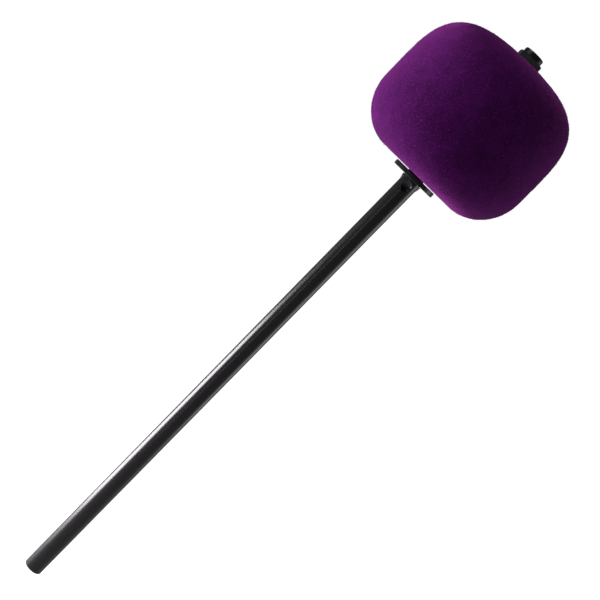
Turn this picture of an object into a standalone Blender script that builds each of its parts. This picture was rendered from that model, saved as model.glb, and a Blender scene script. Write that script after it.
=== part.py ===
"""Bass drum beater: a steel rod whose felt head is clamped between two washers by a lock nut.

Metres, +Z up. The rod stands on the Z axis. Its lower end, which goes into the pedal's hub, is at the
origin, and the head is at the top. The staked dents face -Y and +Y, and the ears they raise lie along X.
"""

import math

import bmesh
import bpy
from mathutils import Matrix, Vector

# Rod, from its lower end up to the washer that the head stands on.
ROD_DIAMETER = 0.00635
ROD_LENGTH_BELOW_HEAD = 0.174625
ROD_END_CHAMFER = 0.00045

# Staking under the lower washer: two opposite dents squeeze out two ears, which stop the washer.
EAR_PROUD = 0.00045
EAR_LENGTH = 0.0044
EAR_WIDTH = 0.0042
DENT_RADIUS = 0.0026
DENT_DEPTH = 0.0009
DENT_BELOW_WASHER = 0.0026
EAR_GAP = 0.0001

# Threaded stud at the top of the rod.
THREAD_DIAMETER = 0.005
THREAD_PITCH = 0.0008
THREAD_DEPTH_PER_PITCH = 0.5413
THREAD_CREST_PER_PITCH = 0.125
THREAD_ROOT_PER_PITCH = 0.25
THREAD_CLEARANCE = 0.00012
STUD_SHOULDER_BELOW_WASHER = 0.0024
STUD_SHOULDER_CHAMFER = 0.0003
STUD_RELIEF = 0.0005
STUD_END_BELOW_NUT_TOP = 0.00035
STUD_END_CHAMFER = 0.0004

# Lower washer, a plain stamped ring loose on the rod.
LOWER_WASHER_DIAMETER = 0.015875
LOWER_WASHER_THICKNESS = 0.0016
LOWER_WASHER_CLEARANCE = 0.0002
WASHER_EDGE = 0.0002

# Felt head, a turned body with a flat seat below and a crown above.
HEAD_DIAMETER = 0.0574
HEAD_HEIGHT = 0.0479
HEAD_WAIST_HEIGHT = 0.022
HEAD_SEAT_DIAMETER = 0.028
HEAD_CORNER_RISE = 0.016
HEAD_CROWN_POWER = 3.25
HEAD_BORE_CLEARANCE = 0.0003
HEAD_GAP = 0.0003
CROWN_LIP = 0.0004

# Upper washer, let into the crown under the nut.
UPPER_WASHER_DIAMETER = 0.010
UPPER_WASHER_THICKNESS = 0.001
UPPER_WASHER_BORE_CLEARANCE = 0.00015
UPPER_WASHER_POCKET_CLEARANCE = 0.0004
NUT_SUNK_IN_CROWN = 0.0011
NUT_GAP = 0.0001

# Lock nut: a hexagon with a collar, and a nylon ring held in the collar.
NUT_ACROSS_FLATS = 0.008
NUT_HEX_HEIGHT = 0.0033
NUT_HEIGHT = 0.005
NUT_CHAMFER_ANGLE = math.radians(30)
NUT_TURN = math.radians(10)
COLLAR_DIAMETER = 0.007
COLLAR_ROUNDING = 0.0005
COLLAR_WALL = 0.00042
COLLAR_LIP_DIAMETER = 0.0056
COLLAR_LIP_THICKNESS = 0.0004
INSERT_HEIGHT = 0.0011
INSERT_GAP = 0.00006
INSERT_BORE_CLEARANCE = 0.0001

# How finely the round shapes are divided.
ROD_STEPS = 40
WASHER_STEPS = 48
HEAD_STEPS = 56
NUT_STEPS = 40
THREAD_STEPS = 20
CROWN_POINTS = 14
CORNER_POINTS = 9
ROUNDING_POINTS = 4
MERGE_DISTANCE = 0.000001
SMOOTH_ANGLE = math.radians(35)

# Levels along the Z axis, worked out from the sizes above.
ROD_RADIUS = ROD_DIAMETER / 2
THREAD_RADIUS = THREAD_DIAMETER / 2
THREAD_DEPTH = THREAD_DEPTH_PER_PITCH * THREAD_PITCH
HEAD_RADIUS = HEAD_DIAMETER / 2
LOWER_WASHER_Z = ROD_LENGTH_BELOW_HEAD
HEAD_Z = LOWER_WASHER_Z + LOWER_WASHER_THICKNESS + HEAD_GAP
NUT_Z = HEAD_Z + HEAD_HEIGHT - NUT_SUNK_IN_CROWN
UPPER_WASHER_Z = NUT_Z - NUT_GAP - UPPER_WASHER_THICKNESS
SHOULDER_Z = UPPER_WASHER_Z - STUD_SHOULDER_BELOW_WASHER
STUD_END_Z = NUT_Z + NUT_HEIGHT - STUD_END_BELOW_NUT_TOP


def clear_scene():
    """Removes whatever the scene holds."""
    for obj in list(bpy.context.scene.objects):
        bpy.data.objects.remove(obj, do_unlink=True)


def new_collection(name):
    """A collection of that name, linked to the scene."""
    collection = bpy.data.collections.new(name)
    bpy.context.scene.collection.children.link(collection)
    return collection


def new_material(name, colour, roughness, metallic):
    """A Principled BSDF material."""
    material = bpy.data.materials.new(name)
    material.use_nodes = True
    shader = material.node_tree.nodes["Principled BSDF"]
    shader.inputs["Base Color"].default_value = (*colour, 1.0)
    shader.inputs["Roughness"].default_value = roughness
    shader.inputs["Metallic"].default_value = metallic
    return material


def new_empty(name, collection, height, parent=None):
    """An empty on the Z axis, at that height above its parent."""
    empty = bpy.data.objects.new(name, None)
    empty.empty_display_size = HEAD_RADIUS / 2
    empty.location = (0, 0, height)
    empty.parent = parent
    collection.objects.link(empty)
    return empty


def new_object(name, mesh, collection, material=None, parent=None, height=0.0):
    """An object of that mesh on the Z axis, at that height above its parent."""
    obj = bpy.data.objects.new(name, mesh)
    obj.location = (0, 0, height)
    obj.parent = parent
    if material:
        mesh.materials.append(material)
    collection.objects.link(obj)
    return obj


def outline_mesh(name, outline, closed):
    """A mesh of edges through the outline's (radius, height) points, in the XZ plane."""
    points = [(radius, 0.0, height) for radius, height in outline]
    edges = [(i, i + 1) for i in range(len(points) - 1)]
    if closed:
        edges.append((len(points) - 1, 0))
    mesh = bpy.data.meshes.new(name)
    mesh.from_pydata(points, edges, [])
    return mesh


def turn(obj, steps):
    """Turns the object's outline about the Z axis into a solid."""
    screw = obj.modifiers.new("Turn", "SCREW")
    screw.axis = "Z"
    screw.steps = steps
    screw.render_steps = steps
    screw.use_merge_vertices = True
    screw.merge_threshold = MERGE_DISTANCE
    screw.use_smooth_shade = False
    return screw


def combine(obj, other, operation):
    """Joins another closed mesh to the object, cuts it away, or keeps what they share."""
    boolean = obj.modifiers.new(f"{operation.title()} {other.name}", "BOOLEAN")
    boolean.operation = operation
    boolean.solver = "EXACT"
    boolean.object = other


def as_cutter(obj):
    """Keeps a helper out of the render and draws it as a wire."""
    obj.hide_render = True
    obj.display_type = "WIRE"
    return obj


def arc(centre, radii, start, end, points):
    """Points on an ellipse's arc, from the start angle to the end angle, both ends included."""
    turned = [start + (end - start) * i / (points - 1) for i in range(points)]
    return [
        (centre[0] + radii[0] * math.cos(angle), centre[1] + radii[1] * math.sin(angle))
        for angle in turned
    ]


def ring_outline(inner, outer, height, edge):
    """A flat ring's section with its four corners taken off, down the outside and up the bore."""
    return [
        (inner + edge, height),
        (outer - edge, height),
        (outer, height - edge),
        (outer, edge),
        (outer - edge, 0.0),
        (inner + edge, 0.0),
        (inner, edge),
        (inner, height - edge),
    ]


def thread_mesh(name, radius, low, high, end_chamfer=0.0):
    """A right-hand threaded bar of that crest radius, flat at both ends.

    A strip one pitch high is wound up a helix, so that each turn meets the next. It runs a turn past
    both ends and is cut flat there. The helix is counted from height zero, so that a bar and the
    cutter of its nut are in step.
    """
    root = radius - THREAD_DEPTH
    crest_height = THREAD_CREST_PER_PITCH * THREAD_PITCH
    root_height = THREAD_ROOT_PER_PITCH * THREAD_PITCH
    flank_height = (THREAD_PITCH - crest_height - root_height) / 2
    first = math.floor(low / THREAD_PITCH) - 1
    turns = math.ceil(high / THREAD_PITCH) + 1 - first
    base = first * THREAD_PITCH
    section = [
        (root, base),
        (root, base + root_height),
        (radius, base + root_height + flank_height),
        (radius, base + root_height + flank_height + crest_height),
        (root, base + THREAD_PITCH),
    ]
    bm = bmesh.new()
    verts = [bm.verts.new((r, 0.0, z)) for r, z in section]
    edges = [bm.edges.new(pair) for pair in zip(verts, verts[1:])]
    bmesh.ops.spin(
        bm,
        geom=verts + edges,
        axis=(0, 0, 1),
        cent=(0, 0, 0),
        dvec=(0, 0, THREAD_PITCH / THREAD_STEPS),
        angle=2 * math.pi * turns,
        steps=THREAD_STEPS * turns,
    )
    bmesh.ops.remove_doubles(bm, verts=bm.verts, dist=MERGE_DISTANCE)
    for height, side in ((low, -1), (high, 1)):
        bmesh.ops.bisect_plane(
            bm,
            geom=bm.verts[:] + bm.edges[:] + bm.faces[:],
            dist=MERGE_DISTANCE,
            plane_co=(0, 0, height),
            plane_no=(0, 0, side),
            clear_outer=True,
        )
    rims = [edge for edge in bm.edges if edge.is_boundary]
    bmesh.ops.holes_fill(bm, edges=rims, sides=0)
    bmesh.ops.recalc_face_normals(bm, faces=bm.faces)
    if end_chamfer:
        for vert in bm.verts:
            across = math.hypot(vert.co.x, vert.co.y)
            most = radius - end_chamfer + (high - vert.co.z)
            if across > most:
                vert.co.x *= most / across
                vert.co.y *= most / across
    mesh = bpy.data.meshes.new(name)
    bm.to_mesh(mesh)
    bm.free()
    return mesh


def sphere_mesh(name, radii, centre, flat_top=None):
    """A ball with its own radius along each axis, cut flat at the height flat_top if it is given."""
    bm = bmesh.new()
    bmesh.ops.create_uvsphere(bm, u_segments=24, v_segments=16, radius=1.0)
    bmesh.ops.scale(bm, vec=radii, verts=bm.verts)
    bmesh.ops.translate(bm, vec=centre, verts=bm.verts)
    if flat_top is not None:
        bmesh.ops.bisect_plane(
            bm,
            geom=bm.verts[:] + bm.edges[:] + bm.faces[:],
            dist=MERGE_DISTANCE,
            plane_co=(0, 0, flat_top),
            plane_no=(0, 0, 1),
            clear_outer=True,
        )
        rims = [edge for edge in bm.edges if edge.is_boundary]
        bmesh.ops.holes_fill(bm, edges=rims, sides=0)
    bmesh.ops.recalc_face_normals(bm, faces=bm.faces)
    mesh = bpy.data.meshes.new(name)
    bm.to_mesh(mesh)
    bm.free()
    return mesh


def make_rod(parts, cutters, material, parent):
    """The rod with its chamfered lower end, its staked ears and dents, and its threaded stud."""
    outline = [
        (0.0, SHOULDER_Z),
        (ROD_RADIUS - STUD_SHOULDER_CHAMFER, SHOULDER_Z),
        (ROD_RADIUS, SHOULDER_Z - STUD_SHOULDER_CHAMFER),
        (ROD_RADIUS, ROD_END_CHAMFER),
        (ROD_RADIUS - ROD_END_CHAMFER, 0.0),
        (0.0, 0.0),
    ]
    rod = new_object("rod", outline_mesh("rod", outline, False), parts, material, parent)
    turn(rod, ROD_STEPS)

    root = THREAD_RADIUS - THREAD_DEPTH
    neck_outline = [
        (0.0, SHOULDER_Z + 2 * STUD_RELIEF),
        (root, SHOULDER_Z + 2 * STUD_RELIEF),
        (root, SHOULDER_Z - STUD_RELIEF),
        (0.0, SHOULDER_Z - STUD_RELIEF),
    ]
    neck = new_object("stud_neck", outline_mesh("stud_neck", neck_outline, False), cutters)
    turn(neck, THREAD_STEPS)
    thread = thread_mesh(
        "stud_thread", THREAD_RADIUS, SHOULDER_Z + STUD_RELIEF, STUD_END_Z, STUD_END_CHAMFER
    )
    stud = new_object("stud_thread", thread, cutters)
    combine(rod, as_cutter(neck), "UNION")
    combine(rod, as_cutter(stud), "UNION")

    ear_top = LOWER_WASHER_Z - EAR_GAP
    ears_mesh = sphere_mesh(
        "ears", (ROD_RADIUS + EAR_PROUD, EAR_WIDTH / 2, EAR_LENGTH), (0, 0, ear_top), ear_top
    )
    combine(rod, as_cutter(new_object("ears", ears_mesh, cutters)), "UNION")
    for side, name in ((-1, "front_dent"), (1, "back_dent")):
        away = side * (ROD_RADIUS - DENT_DEPTH + DENT_RADIUS)
        centre = (0, away, LOWER_WASHER_Z - DENT_BELOW_WASHER)
        dent = new_object(name, sphere_mesh(name, (DENT_RADIUS,) * 3, centre), cutters)
        combine(rod, as_cutter(dent), "DIFFERENCE")
    return rod


def make_washer(name, parts, material, parent, height, sizes):
    """A plain washer: sizes are its bore's radius, its outer radius and its thickness."""
    bore, outer, thickness = sizes
    mesh = outline_mesh(name, ring_outline(bore, outer, thickness, WASHER_EDGE), True)
    washer = new_object(name, mesh, parts, material, parent, height)
    turn(washer, WASHER_STEPS)
    return washer


def crown_height(radius):
    """Height of the crown's surface above the head's seat at that radius."""
    share = (radius / HEAD_RADIUS) ** HEAD_CROWN_POWER
    rise = HEAD_HEIGHT - HEAD_WAIST_HEIGHT
    return HEAD_WAIST_HEIGHT + rise * (1 - share) ** (1 / HEAD_CROWN_POWER)


def make_head(parts, material, parent):
    """The felt head: crown, barrel, rounded lower corner, flat seat, bore and washer pocket."""
    pocket = UPPER_WASHER_DIAMETER / 2 + UPPER_WASHER_POCKET_CLEARANCE
    pocket_floor = UPPER_WASHER_Z - HEAD_GAP - HEAD_Z
    bore = ROD_RADIUS + HEAD_BORE_CLEARANCE
    lip = pocket + CROWN_LIP
    start = math.asin((lip / HEAD_RADIUS) ** (HEAD_CROWN_POWER / 2))
    crown = []
    for i in range(CROWN_POINTS):
        angle = start + (math.pi / 2 - start) * i / (CROWN_POINTS - 1)
        radius = HEAD_RADIUS * math.sin(angle) ** (2 / HEAD_CROWN_POWER)
        crown.append((radius, crown_height(min(radius, HEAD_RADIUS))))
    seat = HEAD_SEAT_DIAMETER / 2
    corner = arc(
        (seat, HEAD_CORNER_RISE),
        (HEAD_RADIUS - seat, HEAD_CORNER_RISE),
        0.0,
        -math.pi / 2,
        CORNER_POINTS,
    )
    bore_side = [(bore, 0.0), (bore, pocket_floor)]
    pocket_side = [(pocket, pocket_floor), (pocket, crown_height(lip) - CROWN_LIP)]
    outline = crown + corner + bore_side + pocket_side
    head = new_object("felt_head", outline_mesh("felt_head", outline, True), parts, material, parent)
    turn(head, HEAD_STEPS)
    return head


def make_nut(parts, cutters, material, parent):
    """The nut: a chamfered hexagon and a rounded collar, with a threaded bore and a ring seat."""
    corner = NUT_ACROSS_FLATS / math.sqrt(3)
    flat = NUT_ACROSS_FLATS / 2
    drop = (corner - flat) * math.tan(NUT_CHAMFER_ANGLE)
    bm = bmesh.new()
    bmesh.ops.create_cone(
        bm, cap_ends=True, segments=6, radius1=corner, radius2=corner, depth=NUT_HEX_HEIGHT
    )
    bmesh.ops.translate(bm, vec=(0, 0, NUT_HEX_HEIGHT / 2), verts=bm.verts)
    bmesh.ops.rotate(bm, matrix=Matrix.Rotation(NUT_TURN, 3, "Z"), verts=bm.verts)
    mesh = bpy.data.meshes.new("lock_nut")
    bm.to_mesh(mesh)
    bm.free()
    nut = new_object("lock_nut", mesh, parts, material, parent)

    beyond = corner - flat
    chamfer_outline = [
        (0.0, NUT_HEX_HEIGHT + drop),
        (flat - beyond, NUT_HEX_HEIGHT + drop),
        (corner + beyond, NUT_HEX_HEIGHT - 2 * drop),
        (corner + beyond, 2 * drop),
        (flat - beyond, -drop),
        (0.0, -drop),
    ]
    chamfer = new_object(
        "nut_chamfer", outline_mesh("nut_chamfer", chamfer_outline, False), cutters, parent=parent
    )
    turn(chamfer, NUT_STEPS)
    combine(nut, as_cutter(chamfer), "INTERSECT")

    outer = COLLAR_DIAMETER / 2
    rounding = arc(
        (outer - COLLAR_ROUNDING, NUT_HEIGHT - COLLAR_ROUNDING),
        (COLLAR_ROUNDING, COLLAR_ROUNDING),
        math.pi / 2,
        0.0,
        ROUNDING_POINTS,
    )
    inside_hexagon = NUT_HEX_HEIGHT / 2
    collar_outline = [(0.0, NUT_HEIGHT), *rounding, (outer, inside_hexagon), (0.0, inside_hexagon)]
    collar = new_object(
        "nut_collar", outline_mesh("nut_collar", collar_outline, False), cutters, parent=parent
    )
    turn(collar, NUT_STEPS)
    combine(nut, as_cutter(collar), "UNION")

    cut_past = THREAD_PITCH
    bore = thread_mesh(
        "nut_thread",
        THREAD_RADIUS + THREAD_CLEARANCE,
        NUT_Z - cut_past,
        NUT_Z + insert_seat() + INSERT_GAP,
    )
    cutter = new_object("nut_thread", bore, cutters)
    combine(nut, as_cutter(cutter), "DIFFERENCE")

    seat_outline = [
        (0.0, NUT_HEIGHT + cut_past),
        (COLLAR_LIP_DIAMETER / 2, NUT_HEIGHT + cut_past),
        (COLLAR_LIP_DIAMETER / 2, NUT_HEIGHT - COLLAR_LIP_THICKNESS),
        (outer - COLLAR_WALL, NUT_HEIGHT - COLLAR_LIP_THICKNESS),
        (outer - COLLAR_WALL, insert_seat()),
        (0.0, insert_seat()),
    ]
    seat = new_object(
        "insert_seat", outline_mesh("insert_seat", seat_outline, False), cutters, parent=parent
    )
    turn(seat, NUT_STEPS)
    combine(nut, as_cutter(seat), "DIFFERENCE")
    return nut


def insert_seat():
    """Height above the nut's base of the shelf that the nylon ring lies on."""
    return NUT_HEIGHT - COLLAR_LIP_THICKNESS - INSERT_HEIGHT - 2 * INSERT_GAP


def make_insert(parts, material, parent):
    """The nylon ring, shut in between the nut's shelf and the collar's lip."""
    outer = COLLAR_DIAMETER / 2 - COLLAR_WALL - INSERT_GAP
    inner = THREAD_RADIUS + INSERT_BORE_CLEARANCE
    outline = [(inner, INSERT_HEIGHT), (outer, INSERT_HEIGHT), (outer, 0.0), (inner, 0.0)]
    mesh = outline_mesh("nylon_insert", outline, True)
    insert = new_object(
        "nylon_insert", mesh, parts, material, parent, insert_seat() + INSERT_GAP
    )
    turn(insert, NUT_STEPS)
    return insert


def main():
    """Builds the beater's pieces on their joint axes."""
    clear_scene()
    parts = new_collection("bass_drum_beater")
    cutters = new_collection("cutters")

    black_steel = new_material("black_steel", (0.012, 0.012, 0.014), 0.28, 0.6)
    black_zinc = new_material("black_zinc", (0.02, 0.02, 0.023), 0.4, 0.7)
    purple_felt = new_material("purple_felt", (0.085, 0.006, 0.125), 0.95, 0.0)
    black_nylon = new_material("black_nylon", (0.03, 0.03, 0.034), 0.55, 0.0)

    frame = new_empty("beater_frame", parts, 0.0)
    head_axis = new_empty("head_axis", parts, HEAD_Z, frame)
    washer_axis = new_empty("washer_axis", parts, UPPER_WASHER_Z, frame)
    nut_axis = new_empty("nut_axis", parts, NUT_Z - UPPER_WASHER_Z, washer_axis)

    make_rod(parts, cutters, black_steel, frame)
    lower_sizes = (
        ROD_RADIUS + LOWER_WASHER_CLEARANCE,
        LOWER_WASHER_DIAMETER / 2,
        LOWER_WASHER_THICKNESS,
    )
    make_washer("lower_washer", parts, black_zinc, frame, LOWER_WASHER_Z, lower_sizes)
    make_head(parts, purple_felt, head_axis)
    upper_sizes = (
        THREAD_RADIUS + UPPER_WASHER_BORE_CLEARANCE,
        UPPER_WASHER_DIAMETER / 2,
        UPPER_WASHER_THICKNESS,
    )
    make_washer("upper_washer", parts, black_zinc, washer_axis, 0.0, upper_sizes)
    make_nut(parts, cutters, black_zinc, nut_axis)
    make_insert(parts, black_nylon, nut_axis)


main()
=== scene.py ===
"""Dress the bass drum beater's CAD model: felt head, painted rod, washers and nut."""

import logging
import math
import random
from dataclasses import dataclass, field
from enum import Enum
from typing import Union

import bmesh
import bpy
from mathutils import Euler, Matrix, Vector, noise


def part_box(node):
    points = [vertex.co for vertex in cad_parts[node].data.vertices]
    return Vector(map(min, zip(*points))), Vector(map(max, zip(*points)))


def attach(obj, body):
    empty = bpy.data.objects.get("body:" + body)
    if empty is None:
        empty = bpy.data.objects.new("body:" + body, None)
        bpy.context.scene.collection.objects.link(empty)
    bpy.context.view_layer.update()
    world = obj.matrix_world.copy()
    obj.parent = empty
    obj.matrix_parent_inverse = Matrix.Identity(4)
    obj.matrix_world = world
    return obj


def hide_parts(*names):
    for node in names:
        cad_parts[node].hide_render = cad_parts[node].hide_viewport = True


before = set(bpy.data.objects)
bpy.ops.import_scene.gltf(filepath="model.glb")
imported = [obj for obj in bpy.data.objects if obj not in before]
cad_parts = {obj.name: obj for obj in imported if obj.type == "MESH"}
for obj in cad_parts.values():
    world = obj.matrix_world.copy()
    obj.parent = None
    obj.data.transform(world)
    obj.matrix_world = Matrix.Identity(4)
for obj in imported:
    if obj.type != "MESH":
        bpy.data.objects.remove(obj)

LOG = logging.getLogger("beater")
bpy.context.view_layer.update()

Colour = tuple[float, float, float]
Point = tuple[float, float, float]
Span = tuple[float, float]
Outline = list[tuple[float, float]]
Number = Union[float, "Signal"]
Tint = Union[Colour, "Signal"]

WHITE: Colour = (1.0, 1.0, 1.0)
QUARTER_TURN = 90.0
MIX_FIRST_COLOUR = 6
MIX_SECOND_COLOUR = 7
MIX_COLOUR_RESULT = 2


class Grain(Enum):
    """Direction in which a finish's fine marks run."""

    EVEN = (1.0, 1.0, 1.0)
    ACROSS_FACE = (1.0, 0.15, 1.0)


@dataclass(frozen=True)
class Pattern:
    """A noise pattern, with its scale in waves a metre."""

    scale: float
    detail: float
    roughness: float = 0.55


@dataclass(frozen=True)
class PaintFinish:
    """Black finish of a metal or nylon piece."""

    name: str
    base: Colour
    worn: Colour
    roughness: float
    spread: float
    metallic: float
    coat: float
    grain: Grain = Grain.EVEN
    marks: Pattern = Pattern(900.0, 4.0)
    mark_span: Span = (0.6, 0.95)
    cloud: Pattern = Pattern(140.0, 2.0)
    cloud_span: Span = (0.35, 0.75)
    coat_roughness: float = 0.12
    specular: float = 0.35
    bump_strength: float = 0.35
    bump_depth: float = 0.00001


@dataclass(frozen=True)
class FeltFinish:
    """Dyed wool felt of the head."""

    name: str
    deep: Colour
    body: Colour
    lint: Colour
    sheen: Colour
    sheen_weight: float
    sheen_roughness: float = 0.42
    roughness: float = 0.95
    specular: float = 0.04
    warp: Pattern = Pattern(260.0, 3.0)
    warp_span: Span = (0.2, 0.85)
    fibres: Pattern = Pattern(2600.0, 5.0, 0.7)
    tangle: Pattern = Pattern(1300.0, 4.0, 0.65)
    tangle_stretch: Point = (1.0, 1.0, 2.6)
    lint_from_fibres: float = 0.6
    lint_from_tangle: float = 0.4
    lint_span: Span = (0.5, 0.74)
    bump_share: float = 0.5
    bump_strength: float = 0.85
    bump_depth: float = 0.0004


@dataclass(frozen=True)
class FloorFinish:
    """Pale floor that the camera sees as white and that lights the part dimly."""

    name: str = "pale_floor"
    darker: Colour = (0.9, 0.9, 0.9)
    lighter: Colour = (0.94, 0.94, 0.94)
    cloud: Pattern = Pattern(3.0, 2.0)
    roughness: float = 0.9
    glow_on_part: Colour = (0.16, 0.16, 0.16)
    glow_seen: Colour = WHITE
    glow_strength: float = 1.0


@dataclass(frozen=True)
class LampPlan:
    """An area lamp aimed at a point of the part."""

    name: str
    place: Point
    target: Point
    size: tuple[float, float]
    power: float
    colour: Colour = WHITE


class Signal:
    """A shader socket that takes part in arithmetic."""

    def __init__(self, tree: bpy.types.NodeTree, socket: bpy.types.NodeSocket) -> None:
        """Wrap a socket.

        Args:
            tree: Node tree that owns the socket.
            socket: Output socket to wrap.
        """
        self.tree = tree
        self.socket = socket

    def math(self, operation: str, first: Number, second: Number) -> "Signal":
        """Return the result of a Math node on two numbers."""
        return add_node(self.tree, "ShaderNodeMath", {0: first, 1: second},
                        {"operation": operation})

    def __add__(self, other: Number) -> "Signal":
        """Return this number plus another."""
        return self.math("ADD", self, other)

    def __radd__(self, other: Number) -> "Signal":
        """Return another number plus this one."""
        return self.math("ADD", other, self)

    def __sub__(self, other: Number) -> "Signal":
        """Return this number less another."""
        return self.math("SUBTRACT", self, other)

    def __rsub__(self, other: Number) -> "Signal":
        """Return another number less this one."""
        return self.math("SUBTRACT", other, self)

    def __mul__(self, other: Number) -> "Signal":
        """Return this number times another."""
        return self.math("MULTIPLY", self, other)

    def __rmul__(self, other: Number) -> "Signal":
        """Return another number times this one."""
        return self.math("MULTIPLY", other, self)

    def scaled(self, factors: Point) -> "Signal":
        """Return this vector times fixed factors."""
        return add_node(self.tree, "ShaderNodeVectorMath", {0: self, 1: factors},
                        {"operation": "MULTIPLY"})

    def noise(self, pattern: Pattern) -> "Signal":
        """Return a noise pattern that is read at this vector."""
        sockets = {
            "Vector": self,
            "Scale": pattern.scale,
            "Detail": pattern.detail,
            "Roughness": pattern.roughness,
        }
        return add_node(self.tree, "ShaderNodeTexNoise", sockets, output="Fac")

    def ramp(self, span: Span) -> "Signal":
        """Return this number spread so that the span becomes 0 to 1."""
        sockets = {"Value": self, "From Min": span[0], "From Max": span[1]}
        return add_node(self.tree, "ShaderNodeMapRange", sockets,
                        {"interpolation_type": "SMOOTHSTEP"}, "Result")

    def mix(self, first: Tint, second: Tint) -> "Signal":
        """Return a colour between two, with this number as the share of the second."""
        sockets = {0: self, MIX_FIRST_COLOUR: first, MIX_SECOND_COLOUR: second}
        return add_node(self.tree, "ShaderNodeMix", sockets, {"data_type": "RGBA"},
                        MIX_COLOUR_RESULT)

    def bump(self, strength: float, depth: float) -> "Signal":
        """Return the normal of a surface that this number raises."""
        sockets = {"Height": self, "Strength": strength, "Distance": depth}
        return add_node(self.tree, "ShaderNodeBump", sockets, output="Normal")


def connect(tree: bpy.types.NodeTree, target: bpy.types.NodeSocket, value: object) -> None:
    """Link a signal to a socket, or set the socket's value.

    Args:
        tree: Node tree that owns the socket.
        target: Input socket.
        value: Signal, number, vector or colour.
    """
    if isinstance(value, Signal):
        tree.links.new(value.socket, target)
    elif isinstance(value, tuple) and len(target.default_value) == 4:
        target.default_value = (*value, 1.0)
    else:
        target.default_value = value


def add_node(tree: bpy.types.NodeTree, kind: str,
             sockets: dict[Union[int, str], object] | None = None,
             settings: dict[str, object] | None = None,
             output: Union[int, str] = 0) -> Signal:
    """Add a node, with its settings made before its sockets are filled.

    Args:
        tree: Node tree that takes the node.
        kind: The node's type name.
        sockets: Values or signals by input name or number.
        settings: Properties to set on the node.
        output: The output to hand back.

    Returns:
        The chosen output as a signal.
    """
    made = tree.nodes.new(kind)
    for key, value in (settings or {}).items():
        setattr(made, key, value)
    for key, value in (sockets or {}).items():
        connect(tree, made.inputs[key], value)
    return Signal(tree, made.outputs[output])


@dataclass
class MaterialBook:
    """Builds the part's procedural materials, each finish once."""

    paints: dict[PaintFinish, bpy.types.Material] = field(default_factory=dict)

    def start(self, name: str) -> tuple[bpy.types.Material, Signal]:
        """Start a material.

        Args:
            name: The material's name.

        Returns:
            The material and its object coordinates.
        """
        material = bpy.data.materials.new(name)
        material.use_nodes = True
        return material, add_node(material.node_tree, "ShaderNodeTexCoord", output="Object")

    def fill(self, material: bpy.types.Material, sockets: dict[str, object]) -> None:
        """Set or link the sockets of a material's Principled node.

        Args:
            material: The material.
            sockets: Values or signals by input name.
        """
        tree = material.node_tree
        for key, value in sockets.items():
            connect(tree, tree.nodes["Principled BSDF"].inputs[key], value)

    def paint(self, finish: PaintFinish) -> bpy.types.Material:
        """Build a black finish, or find it again.

        Args:
            finish: Colours and values of the finish.

        Returns:
            The material.
        """
        if finish in self.paints:
            return self.paints[finish]
        material, place = self.start(finish.name)
        marks = place.scaled(finish.grain.value).noise(finish.marks)
        cloud = place.noise(finish.cloud)
        share = marks.ramp(finish.mark_span) * cloud.ramp(finish.cloud_span)
        rough = finish.roughness + finish.spread * (marks - 0.5) + finish.spread * (cloud - 0.5)
        self.fill(material, {
            "Base Color": share.mix(finish.base, finish.worn),
            "Roughness": rough,
            "Metallic": finish.metallic,
            "Coat Weight": finish.coat,
            "Coat Roughness": finish.coat_roughness,
            "Specular IOR Level": finish.specular,
            "Normal": marks.bump(finish.bump_strength, finish.bump_depth),
        })
        self.paints[finish] = material
        return material

    def felt(self, finish: FeltFinish) -> bpy.types.Material:
        """Build dyed wool felt.

        Args:
            finish: Colours and values of the felt.

        Returns:
            The material.
        """
        material, place = self.start(finish.name)
        warp = place.noise(finish.warp)
        fibres = place.noise(finish.fibres)
        tangle = place.scaled(finish.tangle_stretch).noise(finish.tangle)
        ground = warp.ramp(finish.warp_span).mix(finish.deep, finish.body)
        lint = fibres * finish.lint_from_fibres + tangle * finish.lint_from_tangle
        relief = fibres * finish.bump_share + tangle * finish.bump_share
        self.fill(material, {
            "Base Color": lint.ramp(finish.lint_span).mix(ground, finish.lint),
            "Roughness": finish.roughness,
            "Specular IOR Level": finish.specular,
            "Sheen Weight": finish.sheen_weight,
            "Sheen Roughness": finish.sheen_roughness,
            "Sheen Tint": finish.sheen,
            "Normal": relief.bump(finish.bump_strength, finish.bump_depth),
        })
        return material

    def floor(self, finish: FloorFinish) -> bpy.types.Material:
        """Build the floor's material.

        Args:
            finish: Colours and values of the floor.

        Returns:
            The material.
        """
        material, place = self.start(finish.name)
        seen = add_node(material.node_tree, "ShaderNodeLightPath", output="Is Camera Ray")
        self.fill(material, {
            "Base Color": place.noise(finish.cloud).mix(finish.darker, finish.lighter),
            "Roughness": finish.roughness,
            "Emission Color": seen.mix(finish.glow_on_part, finish.glow_seen),
            "Emission Strength": finish.glow_strength,
        })
        return material


def add_mesh(name: str, work: bmesh.types.BMesh, material: bpy.types.Material) -> bpy.types.Object:
    """Turn a working mesh into an object at the origin.

    Args:
        name: The object's name.
        work: The working mesh, which is freed.
        material: The object's material.

    Returns:
        The new object.
    """
    data = bpy.data.meshes.new(name)
    work.to_mesh(data)
    work.free()
    data.materials.append(material)
    made = bpy.data.objects.new(name, data)
    bpy.context.scene.collection.objects.link(made)
    return made


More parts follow.
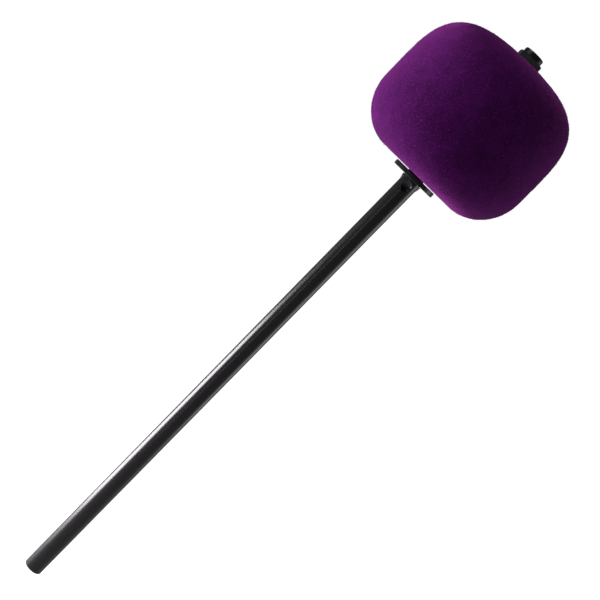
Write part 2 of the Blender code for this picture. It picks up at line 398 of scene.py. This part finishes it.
@dataclass
class FeltHead:
    """The turned felt head. Its section's heights are above its flat seat."""

    radius: float = 0.0287
    seat_radius: float = 0.0140
    waist: float = 0.0220
    corner: float = 0.0160
    power: float = 3.25
    bore_radius: float = 0.003475
    pocket_radius: float = 0.0054
    pocket_gap: float = 0.0003
    rim: float = 0.0004
    rim_midpoint: float = 0.3
    seat_steps: int = 8
    first_seat_step: int = 3
    corner_steps: int = 24
    waist_steps: int = 4
    crown_steps: int = 60
    turns: int = 224
    relief: float = 0.00007
    relief_scale: float = 420.0
    relief_fall: float = 0.8
    relief_gap: float = 2.1
    relief_octaves: int = 4
    base: float = field(init=False)
    height: float = field(init=False)

    def __post_init__(self) -> None:
        """Read the seat's place above the rod's end and the head's height from the CAD."""
        low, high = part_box("felt_head")
        self.base = low[2]
        self.height = high[2] - low[2]

    def crown(self, reach: float) -> float:
        """Return the crown's height at a radius."""
        share = 1.0 - (reach / self.radius) ** self.power
        return self.waist + (self.height - self.waist) * share ** (1.0 / self.power)

    def outline(self) -> Outline:
        """Return the outer outline from seat to crown, as radius and height."""
        points = [(self.seat_radius * step / self.seat_steps, 0.0)
                  for step in range(self.first_seat_step, self.seat_steps)]
        for step in range(self.corner_steps + 1):
            turn = math.radians(QUARTER_TURN * step / self.corner_steps)
            points.append((self.seat_radius + (self.radius - self.seat_radius) * math.sin(turn),
                           self.corner * (1.0 - math.cos(turn))))
        for step in range(1, self.waist_steps + 1):
            rise = (self.waist - self.corner) * step / self.waist_steps
            points.append((self.radius, self.corner + rise))
        for step in range(1, self.crown_steps + 1):
            turn = math.radians(QUARTER_TURN * (1.0 - step / self.crown_steps))
            reach = self.radius * math.sin(turn) ** (2.0 / self.power)
            if reach < self.pocket_radius + self.rim:
                break
            points.append((reach, self.crown(reach)))
        return points

    def section(self) -> Outline:
        """Return the whole closed section, from the bore's foot round to its top."""
        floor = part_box("upper_washer")[0][2] - self.pocket_gap - self.base
        edge = self.crown(self.pocket_radius)
        cut = self.rim_midpoint * self.rim
        return [
            (self.bore_radius, 0.0),
            *self.outline(),
            (self.pocket_radius + cut, edge - cut),
            (self.pocket_radius, edge - self.rim),
            (self.pocket_radius, floor),
            (self.bore_radius, floor),
        ]

    def build(self, material: bpy.types.Material) -> bpy.types.Object:
        """Turn the section into the felt body and roughen its outside.

        Args:
            material: The felt's material.

        Returns:
            The body.
        """
        work = bmesh.new()
        corners = [work.verts.new((reach, 0.0, self.base + height))
                   for reach, height in self.section()]
        edges = [work.edges.new(pair) for pair in zip(corners, corners[1:] + corners[:1])]
        bmesh.ops.spin(work, geom=corners + edges, cent=(0.0, 0.0, 0.0), axis=(0.0, 0.0, 1.0),
                       angle=math.tau, steps=self.turns, use_merge=True)
        bmesh.ops.recalc_face_normals(work, faces=work.faces)
        work.normal_update()
        for corner in work.verts:
            if Vector(corner.co.xy).length > self.pocket_radius + self.rim:
                spread = noise.fractal(corner.co * self.relief_scale, self.relief_fall,
                                       self.relief_gap, self.relief_octaves)
                corner.co += corner.normal * self.relief * spread
        for face in work.faces:
            face.smooth = True
        made = add_mesh("felt_body", work, material)
        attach(made, "head")
        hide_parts("felt_head")
        return made


@dataclass
class FeltFuzz:
    """Short loose hairs that stand off the felt."""

    head: FeltHead
    count: int = 9000
    seed: int = 7
    length: float = 0.0008
    length_span: Span = (0.4, 1.5)
    width: float = 0.00003
    joints: int = 3
    corners_a_joint: int = 2
    bare_seat: float = 0.9
    lean: float = 0.9
    lean_turn: float = 6.28
    least_rise: float = 0.12
    mended_rise: float = 0.3
    root: float = 0.00004
    curl_span: Span = (-0.12, 0.3)
    curl_share: float = 0.6

    def direction(self, out: Vector, chance: random.Random) -> Vector:
        """Draw a hair's direction.

        Args:
            out: The felt's outward direction at the hair's root.
            chance: Source of the random draws.

        Returns:
            The direction, which always rises off the felt.
        """
        lean = Euler((chance.gauss(0.0, self.lean), chance.gauss(0.0, self.lean),
                      chance.uniform(0.0, self.lean_turn)))
        along = (lean.to_matrix() @ out).normalized()
        if along.dot(out) < self.least_rise:
            along = (along + out * (self.mended_rise - along.dot(out))).normalized()
        return along

    def add_hair(self, work: bmesh.types.BMesh, span: tuple[Span, Span],
                 chance: random.Random) -> None:
        """Add one hair as a narrow curled strip.

        Args:
            work: Mesh that takes the hair.
            span: The two ends of the outline's stretch that the hair grows on.
            chance: Source of the random draws.
        """
        first, second = span
        share = chance.random()
        reach = first[0] + share * (second[0] - first[0])
        height = first[1] + share * (second[1] - first[1])
        out = Vector((second[1] - first[1], 0.0, first[0] - second[0])).normalized()
        length = self.length * chance.uniform(*self.length_span)
        along = self.direction(out, chance)
        twist = Matrix.Rotation(chance.uniform(0.0, math.tau), 4, "Z")
        seat = Vector((reach, 0.0, self.head.base + height)) - out * self.root
        place = Matrix.Translation(seat + along * length * 0.5)
        turn = along.to_track_quat("Y", "Z").to_matrix().to_4x4()
        size = Matrix.Diagonal((self.width, length, 1.0, 1.0))
        strip = bmesh.ops.create_grid(work, x_segments=1, y_segments=self.joints, size=0.5,
                                      matrix=twist @ place @ turn @ size)
        curl = (twist.to_3x3() @ out) * length * chance.uniform(*self.curl_span)
        for index, corner in enumerate(strip["verts"]):
            reached = (index // self.corners_a_joint) / self.joints
            corner.co -= curl * reached ** 2 * self.curl_share

    def build(self, material: bpy.types.Material) -> bpy.types.Object:
        """Scatter the hairs over the felt.

        Args:
            material: The hairs' material.

        Returns:
            The hairs as one piece.
        """
        chance = random.Random(self.seed)
        bare = self.head.seat_radius * self.bare_seat
        outline = [point for point in self.head.outline() if point[0] > bare]
        spans = list(zip(outline, outline[1:]))
        weights = [math.dist(first, second) * (first[0] + second[0]) for first, second in spans]
        work = bmesh.new()
        for span in chance.choices(spans, weights, k=self.count):
            self.add_hair(work, span, chance)
        made = add_mesh("felt_fuzz", work, material)
        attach(made, "head")
        return made


@dataclass
class Hardware:
    """Rigid CAD pieces, which keep their meshes and get their finishes."""

    finishes: dict[str, PaintFinish]

    def dress(self, book: MaterialBook) -> None:
        """Give each CAD node its finish.

        Args:
            book: Builds the materials.
        """
        for node, finish in self.finishes.items():
            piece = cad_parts[node]
            material = book.paint(finish)
            if not piece.material_slots:
                piece.data.materials.append(material)
            for place in piece.material_slots:
                place.material = material
            LOG.info("dressed %s with %s", node, material.name)


@dataclass
class Studio:
    """The floor, the lamps, the world and the camera."""

    lamps: tuple[LampPlan, ...]
    floor_level: float = -0.06
    floor_reach: float = 6.0
    world_light: float = 0.12
    world_seen: float = 1.05
    aim: Point = (0.00119, 0.0, 0.1233)
    distance: float = 0.474
    height_degrees: float = 6.3
    roll_degrees: float = 44.44
    lens: float = 90.42
    sensor_width: float = 36.0
    nearest: float = 0.01

    def lay_floor(self, material: bpy.types.Material) -> None:
        """Lay the pale floor below the rod's end.

        Args:
            material: The floor's material.
        """
        work = bmesh.new()
        place = Matrix.Translation((0.0, 0.0, self.floor_level))
        bmesh.ops.create_grid(work, x_segments=1, y_segments=1, size=self.floor_reach,
                              matrix=place)
        add_mesh("floor", work, material)

    def hang_lamps(self) -> None:
        """Hang the area lamps."""
        for plan in self.lamps:
            lamp = bpy.data.lights.new(plan.name, "AREA")
            lamp.shape = "RECTANGLE"
            lamp.size, lamp.size_y = plan.size
            lamp.energy = plan.power
            lamp.color = plan.colour
            made = bpy.data.objects.new(plan.name, lamp)
            away = Vector(plan.place) - Vector(plan.target)
            made.location = plan.place
            made.rotation_euler = away.to_track_quat("Z", "Y").to_euler()
            bpy.context.scene.collection.objects.link(made)

    def light_world(self) -> None:
        """Show the camera a white world that lights the part more dimly."""
        world = bpy.data.worlds.new("studio")
        bpy.context.scene.world = world
        world.use_nodes = True
        tree = world.node_tree
        tree.nodes.clear()
        seen = add_node(tree, "ShaderNodeLightPath", output="Is Camera Ray")
        strength = self.world_light + seen * (self.world_seen - self.world_light)
        shade = add_node(tree, "ShaderNodeBackground", {"Color": WHITE, "Strength": strength})
        output = tree.nodes.new("ShaderNodeOutputWorld")
        connect(tree, output.inputs["Surface"], shade)

    def set_camera(self) -> None:
        """Set the camera at the photograph's viewing angle."""
        lens = bpy.data.cameras.new("camera")
        lens.lens = self.lens
        lens.sensor_width = self.sensor_width
        lens.clip_start = self.nearest
        made = bpy.data.objects.new("camera", lens)
        rise = math.radians(self.height_degrees)
        away = Vector((0.0, -math.cos(rise), math.sin(rise)))
        level = away.to_track_quat("Z", "Y").to_matrix().to_4x4()
        roll = Matrix.Rotation(math.radians(self.roll_degrees), 4, "Z")
        place = Matrix.Translation(Vector(self.aim) + away * self.distance)
        made.matrix_world = place @ level @ roll
        bpy.context.scene.collection.objects.link(made)
        bpy.context.scene.camera = made
        bpy.context.scene.view_settings.view_transform = "Standard"

    def build(self, floor: bpy.types.Material) -> None:
        """Build the whole studio.

        Args:
            floor: The floor's material.
        """
        self.lay_floor(floor)
        self.hang_lamps()
        self.light_world()
        self.set_camera()


ROD_BLACK = PaintFinish(
    name="rod_black",
    base=(0.004, 0.004, 0.005),
    worn=(0.014, 0.014, 0.015),
    roughness=0.24,
    spread=0.04,
    metallic=0.0,
    coat=0.15,
    bump_depth=0.000002,
)
WASHER_BLACK = PaintFinish(
    name="washer_black",
    base=(0.006, 0.006, 0.007),
    worn=(0.05, 0.045, 0.038),
    roughness=0.34,
    spread=0.16,
    metallic=0.35,
    coat=0.15,
    grain=Grain.ACROSS_FACE,
)
NUT_BLACK = PaintFinish(
    name="nut_black",
    base=(0.006, 0.006, 0.008),
    worn=(0.05, 0.05, 0.052),
    roughness=0.30,
    spread=0.16,
    metallic=0.4,
    coat=0.2,
    marks=Pattern(1100.0, 4.0),
)
NYLON_DARK = PaintFinish(
    name="nylon_dark",
    base=(0.012, 0.012, 0.014),
    worn=(0.02, 0.02, 0.022),
    roughness=0.45,
    spread=0.10,
    metallic=0.0,
    coat=0.0,
    marks=Pattern(700.0, 4.0),
)
PURPLE_FELT = FeltFinish(
    name="purple_felt",
    deep=(0.028, 0.0010, 0.040),
    body=(0.046, 0.0020, 0.062),
    lint=(0.170, 0.024, 0.190),
    sheen=(0.66, 0.10, 0.62),
    sheen_weight=0.42,
)
LAMPS = (
    LampPlan("strip", (-0.2424, -0.4373, 0.06), (0.0, 0.0, 0.06), (0.012, 0.26), 0.05,
             (0.93, 1.0, 0.94)),
    LampPlan("right_box", (0.55, 0.12, 0.05), (0.0, 0.0, 0.12), (0.35, 0.5), 1.2),
    LampPlan("low_left", (-0.30, 0.02, -0.02), (0.0, 0.0, 0.185), (0.25, 0.2), 3.4,
             (1.0, 0.93, 1.0)),
    LampPlan("top_left", (-0.45, -0.20, 0.45), (0.0, 0.0, 0.2), (0.3, 0.3), 1.6),
)


def main() -> None:
    """Build the dressed beater and its studio."""
    logging.basicConfig(level=logging.INFO, format="%(message)s")
    book = MaterialBook()
    felt = book.felt(PURPLE_FELT)
    head = FeltHead()
    for piece in (head.build(felt), FeltFuzz(head).build(felt)):
        LOG.info("built %s with %d faces", piece.name, len(piece.data.polygons))
    Hardware({"rod": ROD_BLACK, "lower_washer": WASHER_BLACK}).dress(book)
    Hardware({
        "upper_washer": WASHER_BLACK,
        "lock_nut": NUT_BLACK,
        "nylon_insert": NYLON_DARK,
    }).dress(book)
    Studio(LAMPS).build(book.floor(FloorFinish()))


if __name__ == "__main__":
    main()
